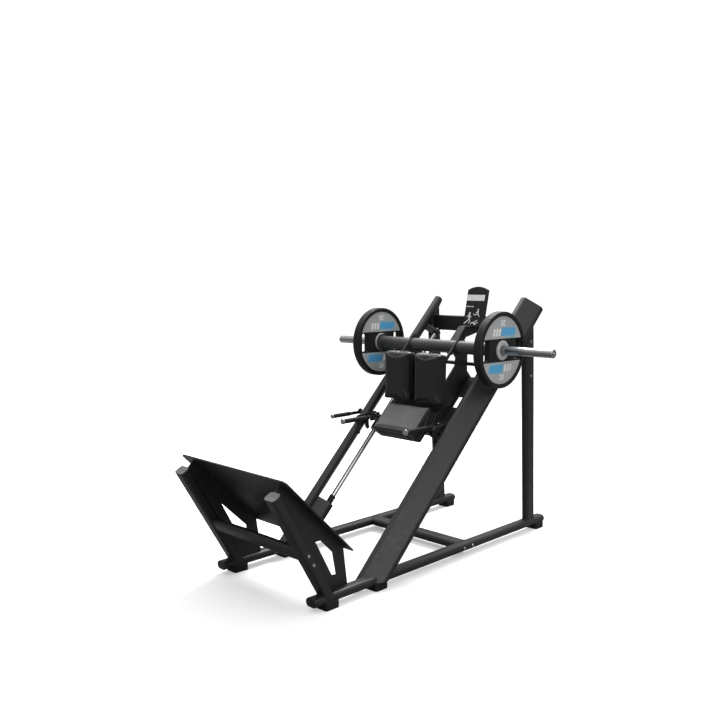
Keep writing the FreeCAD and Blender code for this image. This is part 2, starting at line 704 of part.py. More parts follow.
def handle():
    """The bent-free steel bar of a handle with the flange that bolts it to the carriage."""
    start = HANDLE_TIP_Y + 6
    bar = rod(V(HANDLE_X, start, HANDLE_Z), Y_AXIS, HANDLE_RADIUS, 330)
    ring = rod(V(HANDLE_X, HANDLE_TIP_Y + GRIP_LENGTH + 12, HANDLE_Z), Y_AXIS, 16, 8)
    web = box((HANDLE_X - 5, HANDLE_X + 5), (40, 120), (HANDLE_Z - 24, HANDLE_Z + 24))
    bar = bar.fuse([ring, web]).cut(stub_envelope())
    return biggest(bar.removeSplitter())


def grip(tip, length, radius, bar_radius):
    """A rubber sleeve on a bar along Y."""
    sleeve = rod(tip + V(0, 12, 0), Y_AXIS, radius, length - 12)
    sleeve = sleeve.makeFillet(3, round_edges(sleeve))
    return sleeve.cut(rod(tip, Y_AXIS, bar_radius, length + 10))


def grip_cap(tip, radius, bar_radius):
    cap = rod(tip, Y_AXIS, radius, 12)
    cap = cap.makeFillet(3, round_edges(cap))
    return cap.cut(rod(tip + V(0, 6, 0), Y_AXIS, bar_radius, 20))


# ---- catches ----
def catch_hook(pin_end_x):
    """A catch on its pin; let down, its toe stands under the lower bearing housing."""
    start = HOOK_X - HOOK_THICKNESS / 2
    toe = [(PIVOT_Y - 60, PIVOT_Z - 17), (PIVOT_Y - 56, PIVOT_Z - 72), (PIVOT_Y - 49, PIVOT_Z - 85),
           (PIVOT_Y - 67, PIVOT_Z - 94), (PIVOT_Y - 80, PIVOT_Z - 78), (PIVOT_Y - 92, PIVOT_Z - 19)]
    arm = [(PIVOT_Y, PIVOT_Z + 15), (PIVOT_Y - 150, PIVOT_Z + 6), (PIVOT_Y - 162, PIVOT_Z - 6),
           (PIVOT_Y - 160, PIVOT_Z - 112), (PIVOT_Y - 152, PIVOT_Z - 118),
           (PIVOT_Y - 136, PIVOT_Z - 112), (PIVOT_Y - 134, PIVOT_Z - 30), (PIVOT_Y - 122, PIVOT_Z - 20),
           *reversed(toe), (PIVOT_Y, PIVOT_Z - 14)]
    hook = outline_plate(arm, start, HOOK_THICKNESS)
    boss = rod(V(start, PIVOT_Y, PIVOT_Z), X_AXIS, 17, HOOK_THICKNESS)
    pin = rod(V(start, PIVOT_Y, PIVOT_Z), X_AXIS, PIN_RADIUS, pin_end_x - start)
    return hook.fuse([boss, pin]).removeSplitter()


def release_lever():
    """The hand lever on the outer end of the right-hand catch pin."""
    start = LEVER_X - LEVER_THICKNESS / 2
    grip_start = LEVER_TIP_Y + LEVER_GRIP_LENGTH
    blade = box((start, start + LEVER_THICKNESS), (grip_start, PIVOT_Y),
                (PIVOT_Z - 16, PIVOT_Z + 4))
    boss = rod(V(start, PIVOT_Y, PIVOT_Z), X_AXIS, 19, LEVER_THICKNESS)
    bar = rod(LEVER_TIP + V(0, 6, 0), Y_AXIS, LEVER_RADIUS, LEVER_GRIP_LENGTH + 6)
    lever = blade.fuse([boss, bar]).removeSplitter()
    return lever.cut(rod(V(start, PIVOT_Y, PIVOT_Z), X_AXIS, PIN_RADIUS, LEVER_THICKNESS))


# ---- weight plates ----
def plate_frame(shape):
    """From a frame with the plate's middle at the origin, facing X, to its place on the horn."""
    middle = on_slope_point(PLATE_INNER_X + PLATE_RIM_WIDTH / 2, TUBE_S, TUBE_U)
    return moved(shape, middle)


def plate_disc():
    half = PLATE_RIM_WIDTH / 2
    web = PLATE_WEB_WIDTH / 2
    disc = rod(V(-half, 0, 0), X_AXIS, PLATE_RADIUS, PLATE_RIM_WIDTH)
    disc = disc.makeFillet(7, round_edges(disc))
    for x_start in (-half, web):
        disc = disc.cut(rod(V(x_start, 0, 0), X_AXIS, PLATE_RIM_INNER, half - web))
    for side in (-1, 1):
        slot = rounded_box((-half, half), (side * SLOT_REACH[0], side * SLOT_REACH[1]),
                           (-SLOT_HALF_HEIGHT, SLOT_HALF_HEIGHT), 12, X_AXIS)
        disc = disc.cut(slot)
    return plate_frame(disc.cut(rod(V(-half, 0, 0), X_AXIS, HUB_RADIUS, PLATE_RIM_WIDTH)))


def plate_hub():
    half = PLATE_RIM_WIDTH / 2
    hub = rod(V(-half, 0, 0), X_AXIS, HUB_RADIUS, PLATE_RIM_WIDTH)
    hub = hub.makeChamfer(3, round_edges(hub))
    for x_start in (-half, half - HUB_RECESS_DEPTH):
        hub = hub.cut(rod(V(x_start, 0, 0), X_AXIS, HUB_RECESS_RADIUS, HUB_RECESS_DEPTH))
    return plate_frame(hub.cut(rod(V(-half, 0, 0), X_AXIS, HUB_BORE, PLATE_RIM_WIDTH)))


def plate_segments():
    """The four raised face segments, two on each side of the disc."""
    web = PLATE_WEB_WIDTH / 2
    segments = []
    for x_start in (-web - INLAY, web):
        for side in (-1, 1):
            face = rod(V(x_start, 0, 0), X_AXIS, PLATE_RIM_INNER - 3, INLAY)
            keep = box((x_start - 1, x_start + INLAY + 1), (-300, 300),
                       (side * BAND_HALF_HEIGHT, side * 300))
            segments.append(plate_frame(face.common(keep)))
    return segments


# ---- fasteners ----
def frame_bolts():
    bolts = []
    rail_side = RAIL_X + RAIL_WIDTH / 2
    for offset in (-41, 41):
        head = bolt(V(rail_side - 2, CROSSBAR_Y + offset, RAIL_Z), X_AXIS)
        bolts.append(head.cut(rail_outline()))
    support_side = RAIL_X + SUPPORT_WIDTH / 2
    for along in SUPPORT_BOLTS:
        bolts.append(support_frame(bolt(V(support_side, along, 0), X_AXIS)))
    post_side = RAIL_X + POST_WIDTH / 2
    lean = math.tan(math.radians(POST_LEAN))
    for height in (1050, 1270):
        bolts.append(bolt(V(post_side, POST_FOOT_Y - (height - POST_FOOT_Z) * lean, height), X_AXIS))
    return bolts + [mirrored(item) for item in bolts]


def foot_plate_bolts():
    plate_face = PLATE_S - PLATE_THICKNESS / 2
    bolts = [on_slope(bolt(V(PLATE_BOLT_X, plate_face, u), V(0, -1, 0))) for u in PLATE_BOLT_U]
    return bolts + [mirrored(item) for item in bolts]


def carriage_bolts():
    bolts = []
    mount_back = PAD_FRONT_Y + PAD_THICKNESS + BOARD_THICKNESS + MOUNT_THICKNESS
    for x in (60, 140):
        for z in (PAD_BOTTOM_Z + 80, PAD_TOP_Z - 80):
            bolts.append(bolt(V(x, mount_back, z), Y_AXIS))
    for z in (HANDLE_Z - 16, HANDLE_Z + 16):
        bolts.append(bolt(V(HANDLE_X - 5, 84, z), V(-1, 0, 0), 7, 5))
        bolts.append(bolt(V(HANDLE_X + 5, 84, z), X_AXIS, 7, 5))
    return bolts + [mirrored(item) for item in bolts]


def both(shape):
    return [shape, mirrored(shape)]


# ---- write every node ----
os.makedirs("parts", exist_ok=True)

export_pair("base_rail", base_rail())
export("rail_end_caps", *both(rail_end_cap(RAIL_HALF_LENGTH, 1)),
       *both(rail_end_cap(-RAIL_HALF_LENGTH, -1)))
export("rubber_feet", *[foot for y in FOOT_POSITIONS for foot in both(rubber_foot(y))])
export("base_crossbar", base_crossbar())

export_pair("foot_support", foot_support())
export("support_caps", *both(support_cap()))
export("foot_cross_tube", foot_cross_tube())
export_pair("foot_gusset", foot_gusset(GUSSET_WINDOW),
            mirrored(foot_gusset(GUSSET_WINDOW_RIGHT)))
export("foot_plate", foot_plate())
export("foot_plate_mat", foot_mat())

export_pair("main_beam", main_beam(), main_beam_right())
export("beam_caps", *both(beam_cap()))
export_pair("rear_post", rear_post())
export("top_crossbeam", top_crossbeam())
export("spine_tube", spine_tube())
export("spine_bumper", spine_bumper())

export_pair("guide_rod", guide_rod())
export("rod_brackets", *both(rod_bracket(ROD_BRACKET_LOW)), *both(rod_bracket(ROD_BRACKET_HIGH)))
export("rod_bumpers", *both(rod_bumper()))

export("sign_board", sign_board())
export("sign_bracket", sign_bracket())

export_pair("side_plate", side_plate())
export("weight_tube", weight_tube())
export_pair("weight_horn", weight_horn())
export("horn_end_caps", *both(horn_cap()))
export("bearing_housings", *[item for s in HOUSING_S for item in both(bearing_housing(s))])
export("bearing_liners", *[item for s in HOUSING_S for item in both(bearing_liner(s))])
export("tie_rod", tie_rod())
export("carriage_wings", *both(carriage_wing()))
export("carriage_cross_tubes", *[carriage_cross_tube(s, u) for s, u in CROSS_TUBES])
export("pad_mount_plate", pad_mount())
export_pair("shoulder_pad", shoulder_pad())
export("back_pad", back_pad())
export("pad_boards", *both(shoulder_board()), back_pad_board())

export_pair("handle", handle())
export("handle_grips", *both(grip(HANDLE_TIP, GRIP_LENGTH, GRIP_RADIUS, HANDLE_RADIUS)))
export("handle_end_caps", *both(grip_cap(HANDLE_TIP, GRIP_RADIUS + CAP_RIM, HANDLE_RADIUS)))

export("catch_hook_left", catch_hook(400))
export("catch_hook_right", mirrored(catch_hook(LEVER_X + LEVER_THICKNESS / 2)))
export("release_lever", mirrored(release_lever()))
export("lever_grip", mirrored(grip(LEVER_TIP, LEVER_GRIP_LENGTH, LEVER_GRIP_RADIUS, LEVER_RADIUS)))
export("lever_end_cap", mirrored(grip_cap(LEVER_TIP, LEVER_GRIP_RADIUS + 1, LEVER_RADIUS)))

export_pair("plate_disc", plate_disc())
export_pair("plate_hub", plate_hub())
segments = plate_segments()
export("plate_segments_left", *segments)
export("plate_segments_right", *[mirrored(item) for item in segments])

export("frame_bolts", *frame_bolts())
export("foot_plate_bolts", *foot_plate_bolts())
export("carriage_bolts", *carriage_bolts())
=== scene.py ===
import json
import math

import bmesh
import bpy
from mathutils import Matrix, Vector
from mathutils.bvhtree import BVHTree
from mathutils.kdtree import KDTree


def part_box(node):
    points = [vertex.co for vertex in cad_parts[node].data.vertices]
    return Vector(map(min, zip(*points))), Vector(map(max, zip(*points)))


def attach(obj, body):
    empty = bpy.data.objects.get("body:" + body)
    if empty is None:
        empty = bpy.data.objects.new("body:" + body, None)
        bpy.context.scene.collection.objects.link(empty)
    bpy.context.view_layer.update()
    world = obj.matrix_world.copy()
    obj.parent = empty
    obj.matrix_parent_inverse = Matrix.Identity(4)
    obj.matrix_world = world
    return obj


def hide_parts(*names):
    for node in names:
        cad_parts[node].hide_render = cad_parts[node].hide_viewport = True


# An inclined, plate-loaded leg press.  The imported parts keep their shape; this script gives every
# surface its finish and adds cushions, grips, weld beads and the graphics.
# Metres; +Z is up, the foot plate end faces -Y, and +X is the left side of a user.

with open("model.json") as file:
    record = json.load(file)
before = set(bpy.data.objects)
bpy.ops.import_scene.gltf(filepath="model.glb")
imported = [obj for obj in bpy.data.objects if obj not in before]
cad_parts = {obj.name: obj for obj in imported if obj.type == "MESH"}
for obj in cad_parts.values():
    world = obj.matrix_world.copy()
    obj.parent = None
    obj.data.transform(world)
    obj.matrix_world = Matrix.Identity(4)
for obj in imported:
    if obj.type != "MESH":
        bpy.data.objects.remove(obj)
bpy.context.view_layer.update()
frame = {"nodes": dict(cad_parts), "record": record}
nodes = frame["nodes"]
body_of_node = {node: body
                for body, members in frame["record"]["behaviour"]["bodies"].items()
                for node in members}

INCLINE = math.radians(45)
SLOPE = Matrix.Rotation(INCLINE, 4, "X")
UPRIGHT = Matrix.Rotation(math.radians(90), 4, "X")

# ---- camera ----
CAMERA_PLACE = (3.207, -3.3749, 1.636)
CAMERA_TURN = (math.radians(78.41), 0.0, math.radians(44.67))
CAMERA_LENS = 39.04
CAMERA_SHIFT = (-0.0048, 0.1123)
CAMERA_SENSOR = 36.0
CAMERA_REACH = 200.0

# ---- colours, linear ----
POWDER_BLACK = (0.0145, 0.0147, 0.0153)
GRAPHITE = (0.021, 0.0215, 0.0225)
TUBE_GREY = (0.066, 0.0665, 0.068)
PLASTIC_BLACK = (0.012, 0.012, 0.0124)
RUBBER_BLACK = (0.0085, 0.0085, 0.0088)
CAP_GREY = (0.19, 0.195, 0.2)
CHROME = (0.5, 0.505, 0.51)
HORN_GREY = (0.42, 0.425, 0.43)
STEEL = (0.3, 0.305, 0.31)
LINER_BEIGE = (0.4, 0.37, 0.3)
VINYL_BLACK = (0.0095, 0.0095, 0.0098)
VINYL_GREY = (0.115, 0.117, 0.12)
PLY_LIGHT = (0.024, 0.0225, 0.021)
PLY_DARK = (0.0095, 0.009, 0.0085)
FACE_GREY = (0.48, 0.49, 0.495)
FACE_BLUE = (0.11, 0.46, 0.8)
PALE_BLUE = (0.27, 0.54, 0.72)
INK_WHITE = (0.95, 0.95, 0.94)
THREAD_GREY = (0.045, 0.045, 0.047)


# ---- materials ----
class Surface:
    """A Principled material and the few node shortcuts that the finishes share."""

    def __init__(self, name):
        self.material = bpy.data.materials.new(name)
        self.material.use_nodes = True
        self.tree = self.material.node_tree
        self.shader = self.tree.nodes["Principled BSDF"]
        self.place = self.add("ShaderNodeTexCoord").outputs["Object"]

    def add(self, kind, **settings):
        node = self.tree.nodes.new(kind)
        for key, value in settings.items():
            setattr(node, key, value)
        return node

    def link(self, output, target):
        self.tree.links.new(output, target)

    def stretched(self, scale):
        """The object's coordinates, scaled along each axis, for brushed or layered patterns."""
        mapping = self.add("ShaderNodeMapping")
        mapping.inputs["Scale"].default_value = scale
        self.link(self.place, mapping.inputs["Vector"])
        return mapping.outputs["Vector"]

    def noise(self, scale, detail=2.0, vector=None):
        node = self.add("ShaderNodeTexNoise")
        node.inputs["Scale"].default_value = scale
        node.inputs["Detail"].default_value = detail
        self.link(vector or self.place, node.inputs["Vector"])
        return node.outputs["Fac"]

    def cells(self, scale, feature="F1"):
        node = self.add("ShaderNodeTexVoronoi", feature=feature)
        node.inputs["Scale"].default_value = scale
        self.link(self.place, node.inputs["Vector"])
        return node.outputs["Distance"]

    def spread(self, factor, low, high, start=0.3, end=0.7):
        """A number that goes from low to high as the factor goes from start to end."""
        node = self.add("ShaderNodeMapRange")
        limits = (("From Min", start), ("From Max", end), ("To Min", low), ("To Max", high))
        for key, value in limits:
            node.inputs[key].default_value = value
        self.link(factor, node.inputs["Value"])
        return node.outputs["Result"]

    def blend(self, factor, first, second):
        node = self.add("ShaderNodeMix", data_type="RGBA")
        for socket, value in ((node.inputs["A"], first), (node.inputs["B"], second)):
            if isinstance(value, tuple):
                socket.default_value = (*value, 1.0)
            else:
                self.link(value, socket)
        self.link(factor, node.inputs["Factor"])
        return node.outputs["Result"]

    def times(self, first, second):
        node = self.add("ShaderNodeMath", operation="MULTIPLY")
        self.link(first, node.inputs[0])
        self.link(second, node.inputs[1])
        return node.outputs["Value"]

    def colour(self, output):
        self.link(output, self.shader.inputs["Base Color"])

    def rough(self, output):
        self.link(output, self.shader.inputs["Roughness"])

    def set(self, **values):
        for key, value in values.items():
            self.shader.inputs[key.replace("_", " ")].default_value = value

    def bump(self, height, strength, depth, under=None):
        node = self.add("ShaderNodeBump")
        node.inputs["Strength"].default_value = strength
        node.inputs["Distance"].default_value = depth
        self.link(height, node.inputs["Height"])
        if under is not None:
            self.link(under, node.inputs["Normal"])
        return node.outputs["Normal"]

    def relief(self, output):
        self.link(output, self.shader.inputs["Normal"])

    def soft_edges(self, radius):
        """The normal as if every sharp edge had a small radius, as a coat of paint leaves it."""
        node = self.add("ShaderNodeBevel", samples=4)
        node.inputs["Radius"].default_value = radius
        return node.outputs["Normal"]

    def highlit_rub_edges(self, radius):
        """A mask that is high only along outer edges, broken up by fine noise; it places the
        painted edge highlight.
        """
        bevel = self.soft_edges(radius)
        flat = self.add("ShaderNodeNewGeometry").outputs["Normal"]
        dot = self.add("ShaderNodeVectorMath", operation="DOT_PRODUCT")
        self.link(bevel, dot.inputs[0])
        self.link(flat, dot.inputs[1])
        edge = self.spread(dot.outputs["Value"], 1.0, 0.0, 0.8, 0.985)
        return self.times(edge, self.spread(self.noise(160, 4), 0.0, 1.0, 0.42, 0.62))


def tint(colour, factor):
    return tuple(min(1.0, c * factor) for c in colour)


def powder_coat(name, colour, rub_and_highlight=0.35):
    """Baked powder coat: fine orange peel, slightly uneven gloss, and a painted highlight on its
    edges, with a little rubbing.
    """
    s = Surface(name)
    clouds = s.noise(5, 3)
    base = s.blend(s.spread(clouds, 0, 1), tint(colour, 0.86), tint(colour, 1.14))
    speck = s.spread(s.noise(1900, 1), 0.0, 0.35, 0.62, 0.75)
    base = s.blend(speck, base, tint(colour, 2.2))
    # painted highlight: every outer edge is lightened as if it caught the light, with a trace of
    # rubbing
    edge = s.spread(s.highlit_rub_edges(0.0022), 0.0, rub_and_highlight, 0.0, 1.0)
    s.colour(s.blend(edge, base, tint(colour, 3.4)))
    s.rough(s.spread(s.noise(38, 3), 0.34, 0.46))
    peel = s.bump(s.noise(820, 2), 0.16, 0.0004, s.soft_edges(0.0012))
    s.relief(s.bump(s.noise(70, 2), 0.05, 0.0008, peel))
    s.set(Specular_IOR_Level=0.42)
    return s.material


def moulded_plastic(name, colour, grain=1400.0):
    """Injection-moulded plastic with a spark-eroded grain."""
    s = Surface(name)
    s.colour(s.blend(s.spread(s.noise(22, 3), 0, 1), tint(colour, 0.85), tint(colour, 1.2)))
    s.rough(s.spread(s.noise(60, 2), 0.46, 0.6))
    s.relief(s.bump(s.cells(grain), 0.3, 0.0003, s.soft_edges(0.0012)))
    s.set(Specular_IOR_Level=0.4)
    return s.material


def rubber(name, colour):
    """Dull black rubber with a fine pitted skin and a trace of dust."""
    s = Surface(name)
    dust = s.spread(s.noise(14, 5), 0.0, 0.45, 0.5, 0.72)
    s.colour(s.blend(dust, colour, tint(colour, 2.3)))
    s.rough(s.spread(s.noise(45, 3), 0.56, 0.76))
    s.relief(s.bump(s.noise(620, 3), 0.35, 0.0005, s.soft_edges(0.0015)))
    s.set(Specular_IOR_Level=0.35)
    return s.material


def polished(name, colour, along=(1.0, 1.0, 1.0), low=0.07, high=0.2):
    """Chromed or polished steel with hairline marks that run along the given axes."""
    s = Surface(name)
    marks = s.noise(26, 5, s.stretched(along))
    s.colour(s.blend(s.spread(s.noise(9, 3), 0, 1), tint(colour, 0.93), tint(colour, 1.04)))
    s.rough(s.spread(marks, low, high, 0.35, 0.7))
    s.relief(s.bump(marks, 0.05, 0.0004, s.soft_edges(0.0008)))
    s.set(Metallic=1.0)
    return s.material


def machined(name, colour):
    """Turned or ground steel with a fine uneven finish."""
    s = Surface(name)
    lines = s.noise(60, 4)
    s.colour(s.blend(s.spread(lines, 0, 1), tint(colour, 0.8), tint(colour, 1.15)))
    s.rough(s.spread(lines, 0.26, 0.42))
    s.relief(s.bump(lines, 0.12, 0.0004, s.soft_edges(0.0008)))
    s.set(Metallic=1.0)
    return s.material


def vinyl(name, colour, sheen=0.12):
    """Upholstery vinyl: a pebbled grain of small cells with finer creases between them."""
    s = Surface(name)
    grain = s.cells(680, "SMOOTH_F1")
    s.colour(s.blend(s.spread(s.noise(11, 4), 0, 1), tint(colour, 0.88), tint(colour, 1.13)))
    s.rough(s.spread(grain, 0.5, 0.38, 0.1, 0.6))
    pebbles = s.bump(grain, 0.42, 0.00045)
    s.relief(s.bump(s.noise(120, 3), 0.12, 0.0012, pebbles))
    s.set(Specular_IOR_Level=0.45, Sheen_Weight=sheen, Sheen_Roughness=0.45)
    return s.material


def plywood(name):
    """Black-stained plywood: thin plies on the edges, long grain on the faces."""
    s = Surface(name)
    grain = s.noise(9, 6, s.stretched((1.0, 9.0, 9.0)))
    plies = s.noise(3, 1, s.stretched((0.2, 240.0, 240.0)))
    tone = s.blend(s.spread(grain, 0, 1), PLY_DARK, PLY_LIGHT)
    s.colour(s.blend(s.spread(plies, 0, 0.6), tone, PLY_DARK))
    s.rough(s.spread(grain, 0.6, 0.78))
    s.relief(s.bump(grain, 0.2, 0.0006))
    return s.material


def ink(name, colour):
    """Screen-printed ink: a thin, slightly uneven film."""
    s = Surface(name)
    s.colour(s.blend(s.spread(s.noise(150, 4), 0, 1), tint(colour, 0.92), tint(colour, 1.06)))
    s.rough(s.spread(s.noise(300, 2), 0.42, 0.56))
    s.relief(s.bump(s.noise(1500, 2), 0.12, 0.0002))
    return s.material


def thread(name, colour):
    s = Surface(name)
    twist = s.noise(1500, 3, s.stretched((1.0, 1.0, 0.4)))
    s.colour(s.blend(s.spread(twist, 0, 1), tint(colour, 0.6), tint(colour, 1.5)))
    s.rough(s.spread(twist, 0.55, 0.8))
    s.relief(s.bump(twist, 0.5, 0.0003))
    return s.material


ALONG_X = (0.05, 6.0, 6.0)
ALONG_SLOPE = (6.0, 1.0, 1.0)

FRAME_COAT = powder_coat("frame_powder_coat", POWDER_BLACK)
CARRIAGE_COAT = powder_coat("carriage_powder_coat", GRAPHITE)
TUBE_COAT = powder_coat("weight_tube_powder_coat", TUBE_GREY, 0.2)
BLACK_PLASTIC = moulded_plastic("black_plastic", PLASTIC_BLACK)
GREY_PLASTIC = moulded_plastic("grey_plastic", CAP_GREY)
BOARD_PLASTIC = moulded_plastic("board_plastic", PLASTIC_BLACK, 2200.0)
RUBBER = rubber("black_rubber", RUBBER_BLACK)
ROD_CHROME = polished("rod_chrome", CHROME, ALONG_SLOPE, 0.06, 0.16)
HORN_CHROME = polished("horn_chrome", HORN_GREY, ALONG_X, 0.24, 0.4)
BRIGHT_CHROME = polished("bright_chrome", CHROME)
MACHINED_STEEL = machined("machined_steel", STEEL)
BLACK_STEEL = machined("blackened_steel", tint(STEEL, 0.3))
LINER = moulded_plastic("bearing_polymer", LINER_BEIGE)
BLACK_VINYL = vinyl("black_vinyl", VINYL_BLACK)
GREY_VINYL = vinyl("grey_vinyl", VINYL_GREY)
PLYWOOD = plywood("stained_plywood")
FACE_PAINT = powder_coat("plate_face_paint", FACE_GREY, 0.1)
BLUE_INK = ink("blue_ink", FACE_BLUE)
PALE_BLUE_INK = ink("pale_blue_ink", PALE_BLUE)
WHITE_INK = ink("white_ink", INK_WHITE)
THREAD = thread("stitch_thread", THREAD_GREY)

FINISHES = (
    (FRAME_COAT, "base_rail_left base_rail_right base_crossbar foot_support_left foot_support_right"
                 " foot_cross_tube foot_gusset_left foot_gusset_right foot_plate main_beam_left"
                 " main_beam_right rear_post_left rear_post_right top_crossbeam spine_tube"
                 " rod_brackets sign_bracket catch_hook_left catch_hook_right"),
    (TUBE_COAT, "weight_tube"),
    (CARRIAGE_COAT, "side_plate_left side_plate_right carriage_cross_tubes"
                    " pad_mount_plate handle_left handle_right release_lever"
                    " carriage_wings tie_rod"),
    (BLACK_PLASTIC, "rail_end_caps beam_caps"),
    (GREY_PLASTIC, "support_caps"),
    (BOARD_PLASTIC, "sign_board"),
    (RUBBER, "rubber_feet foot_plate_mat spine_bumper rod_bumpers plate_disc_left"
             " plate_disc_right"),
    (ROD_CHROME, "guide_rod_left guide_rod_right"),
    (HORN_CHROME, "weight_horn_left weight_horn_right"),
    (BRIGHT_CHROME, "horn_end_caps handle_end_caps lever_end_cap frame_bolts carriage_bolts"),
    (MACHINED_STEEL, "bearing_housings"),
    (BLACK_STEEL, "foot_plate_bolts"),
    (LINER, "bearing_liners"),
    (PLYWOOD, "pad_boards"),
    (FACE_PAINT, "plate_segments_left plate_segments_right plate_hub_left plate_hub_right"),
)


def dress(node, material):
    slots = nodes[node].data.materials
    slots.clear()
    slots.append(material)


for finish, names in FINISHES:
    for node_name in names.split():
        dress(node_name, finish)


# ---- mesh helpers ----
def link_object(name, mesh, *materials):
    piece = bpy.data.objects.new(name, mesh)
    bpy.context.scene.collection.objects.link(piece)
    for material in materials:
        mesh.materials.append(material)
    return piece


def mesh_from(bm, smooth=True):
    mesh = bpy.data.meshes.new("piece")
    bm.to_mesh(mesh)
    bm.free()
    mesh.polygons.foreach_set("use_smooth", [smooth] * len(mesh.polygons))
    return mesh


def evaluated_mesh(piece):
    """The piece's mesh as its modifiers, or its text, leave it."""
    graph = bpy.context.evaluated_depsgraph_get()
    return bpy.data.meshes.new_from_object(piece.evaluated_get(graph))


def piece_from(name, bm, material, body, smooth=True):
    piece = link_object(name, mesh_from(bm, smooth), material)
    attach(piece, body)
    return piece


def merged_mesh(node):
    """A node's mesh with the vertices that its sharp edges split joined again."""
    bm = bmesh.new()
    bm.from_mesh(nodes[node].data)
    bmesh.ops.remove_doubles(bm, verts=bm.verts, dist=1e-5)
    return bm


def islands(bm):
    """The vertex groups of each separate solid in a mesh."""
    left = set(bm.verts)
    while left:
        start = left.pop()
        group, queue = [start], [start]
        while queue:
            vertex = queue.pop()
            for edge in vertex.link_edges:
                other = edge.other_vert(vertex)
                if other in left:
                    left.discard(other)
                    group.append(other)
                    queue.append(other)
        yield group


def local_box(node, turn):
    """A node's lowest and highest corner in the frame that the matrix turns from."""
    back = turn.inverted()
    points = [back @ v.co for v in nodes[node].data.vertices]
    low = Vector([min(p[i] for p in points) for i in range(3)])
    high = Vector([max(p[i] for p in points) for i in range(3)])
    return low, high


def smooth_loop(points, closed, step):
    """Points spaced evenly along a chain of points."""
    chain = points + points[:1] if closed else points
    lengths = [0.0]
    for a, b in zip(chain, chain[1:]):
        lengths.append(lengths[-1] + (b - a).length)
    count = max(2, round(lengths[-1] / step))
    made, i = [], 0
    for k in range(count if closed else count + 1):
        target = lengths[-1] * k / count
        while i < len(lengths) - 2 and lengths[i + 1] < target:
            i += 1
        span = max(1e-9, lengths[i + 1] - lengths[i])
        made.append(chain[i].lerp(chain[i + 1], (target - lengths[i]) / span))
    return made


def tube_along(bm, points, closed, radius, sides=8):
    """Adds a tube that follows the points; radius is a number or a function of the ring's index."""
    count = len(points)
    rings = []
    side = None
    for i, point in enumerate(points):
        before = points[i - 1] if closed or i else points[0]
        after = points[(i + 1) % count] if closed or i < count - 1 else points[-1]
        along = (after - before).normalized()
        if side is None:
            side = along.orthogonal().normalized()
        side = (side - along * side.dot(along)).normalized()
        up = along.cross(side)
        size = radius(i) if callable(radius) else radius
        rings.append([bm.verts.new(point + (side * math.cos(a) + up * math.sin(a)) * size)
                      for a in (2 * math.pi * j / sides for j in range(sides))])
    pairs = zip(rings, rings[1:] + rings[:1]) if closed else zip(rings, rings[1:])
    for first, second in pairs:
        for j in range(sides):
            k = (j + 1) % sides
            bm.faces.new((first[j], first[k], second[k], second[j]))
    if not closed:
        bm.faces.new(list(reversed(rings[0])))
        bm.faces.new(rings[-1])


def lathe(bm, profile, start, axis, sides=48):
    """Adds a turned shape; profile holds (distance along the axis, radius) pairs."""
    axis = Vector(axis).normalized()
    side = axis.orthogonal().normalized()
    up = axis.cross(side)
    rings = []
    for along, radius in profile:
        middle = Vector(start) + axis * along
        rings.append([bm.verts.new(middle + (side * math.cos(a) + up * math.sin(a)) * radius)
                      for a in (2 * math.pi * j / sides for j in range(sides))])
    for first, second in zip(rings, rings[1:]):
        for j in range(sides):
            k = (j + 1) % sides
            bm.faces.new((first[j], first[k], second[k], second[j]))
    return rings


def close_rings(bm, first, last):
    sides = len(first)
    for j in range(sides):
        k = (j + 1) % sides
        bm.faces.new((last[j], last[k], first[k], first[j]))


# ---- cushions ----
VOXEL = 0.006
PUFF_PRESSURE = 4.0
SIM_FRAMES = 20
PUFF_CAP = 0.007
HELD_HEIGHT = 0.004
CLOTH_QUALITY = 5
TENSION = 12
BENDING = 0.4
BLOCK_INSET = 0.004
BLOCK_TOP = 0.006
BLOCK_RADIUS = 0.013
CORNER = 0.02
CROWN = 0.0045
SIDE_PULL = 0.012
CROWN_LIMIT = 0.002
FRONT_SEAM_DROP = 0.012
BACK_SEAM_RISE = 0.011
WELT_RADIUS = 0.0022
WELT_PROUD = 0.0006
STITCH_STEP = 0.0075
STITCH_PROUD = 0.0002
STITCH_INSET = 0.011
STITCH_DROP = 0.0075


def rounded_block(low, high, radius, steps=3):
    bm = bmesh.new()
    bmesh.ops.create_cube(bm, size=1.0)
    size, middle = high - low, (high + low) / 2
    for vertex in bm.verts:
        vertex.co = Vector([vertex.co[i] * size[i] + middle[i] for i in range(3)])
    bmesh.ops.bevel(bm, geom=bm.edges[:], offset=radius, segments=steps, profile=0.5,
                    affect="EDGES")
    return bm


def apply_modifiers(piece):
    piece_now = evaluated_mesh(piece)
    piece.modifiers.clear()
    piece.data = piece_now


def puffed(piece, base_z):
    """Voxel remesh and a short cloth simulation under pressure; the back stays on its board."""
    remesh = piece.modifiers.new("remesh", "REMESH")
    remesh.mode = "VOXEL"
    remesh.voxel_size = VOXEL
    apply_modifiers(piece)
    start = [v.co.copy() for v in piece.data.vertices]
    held = piece.vertex_groups.new(name="held")
    held.add([i for i, co in enumerate(start) if co.z < base_z + HELD_HEIGHT], 1.0, "REPLACE")
    cloth = piece.modifiers.new("cloth", "CLOTH")
    cloth.settings.use_pressure = True
    cloth.settings.uniform_pressure_force = PUFF_PRESSURE
    cloth.settings.effector_weights.gravity = 0.0
    cloth.settings.vertex_group_mass = "held"
    cloth.settings.quality = CLOTH_QUALITY
    cloth.settings.tension_stiffness = TENSION
    cloth.settings.bending_stiffness = BENDING
    scene = bpy.context.scene
    for number in range(1, SIM_FRAMES + 1):
        scene.frame_set(number)
    apply_modifiers(piece)
    scene.frame_set(1)
    for vertex, rest in zip(piece.data.vertices, start):
        move = vertex.co - rest
        if move.length > PUFF_CAP:
            vertex.co = rest + move.normalized() * PUFF_CAP
    subdivide = piece.modifiers.new("finer", "SUBSURF")
    subdivide.levels = 1
    apply_modifiers(piece)
    piece.data.polygons.foreach_set("use_smooth", [True] * len(piece.data.polygons))


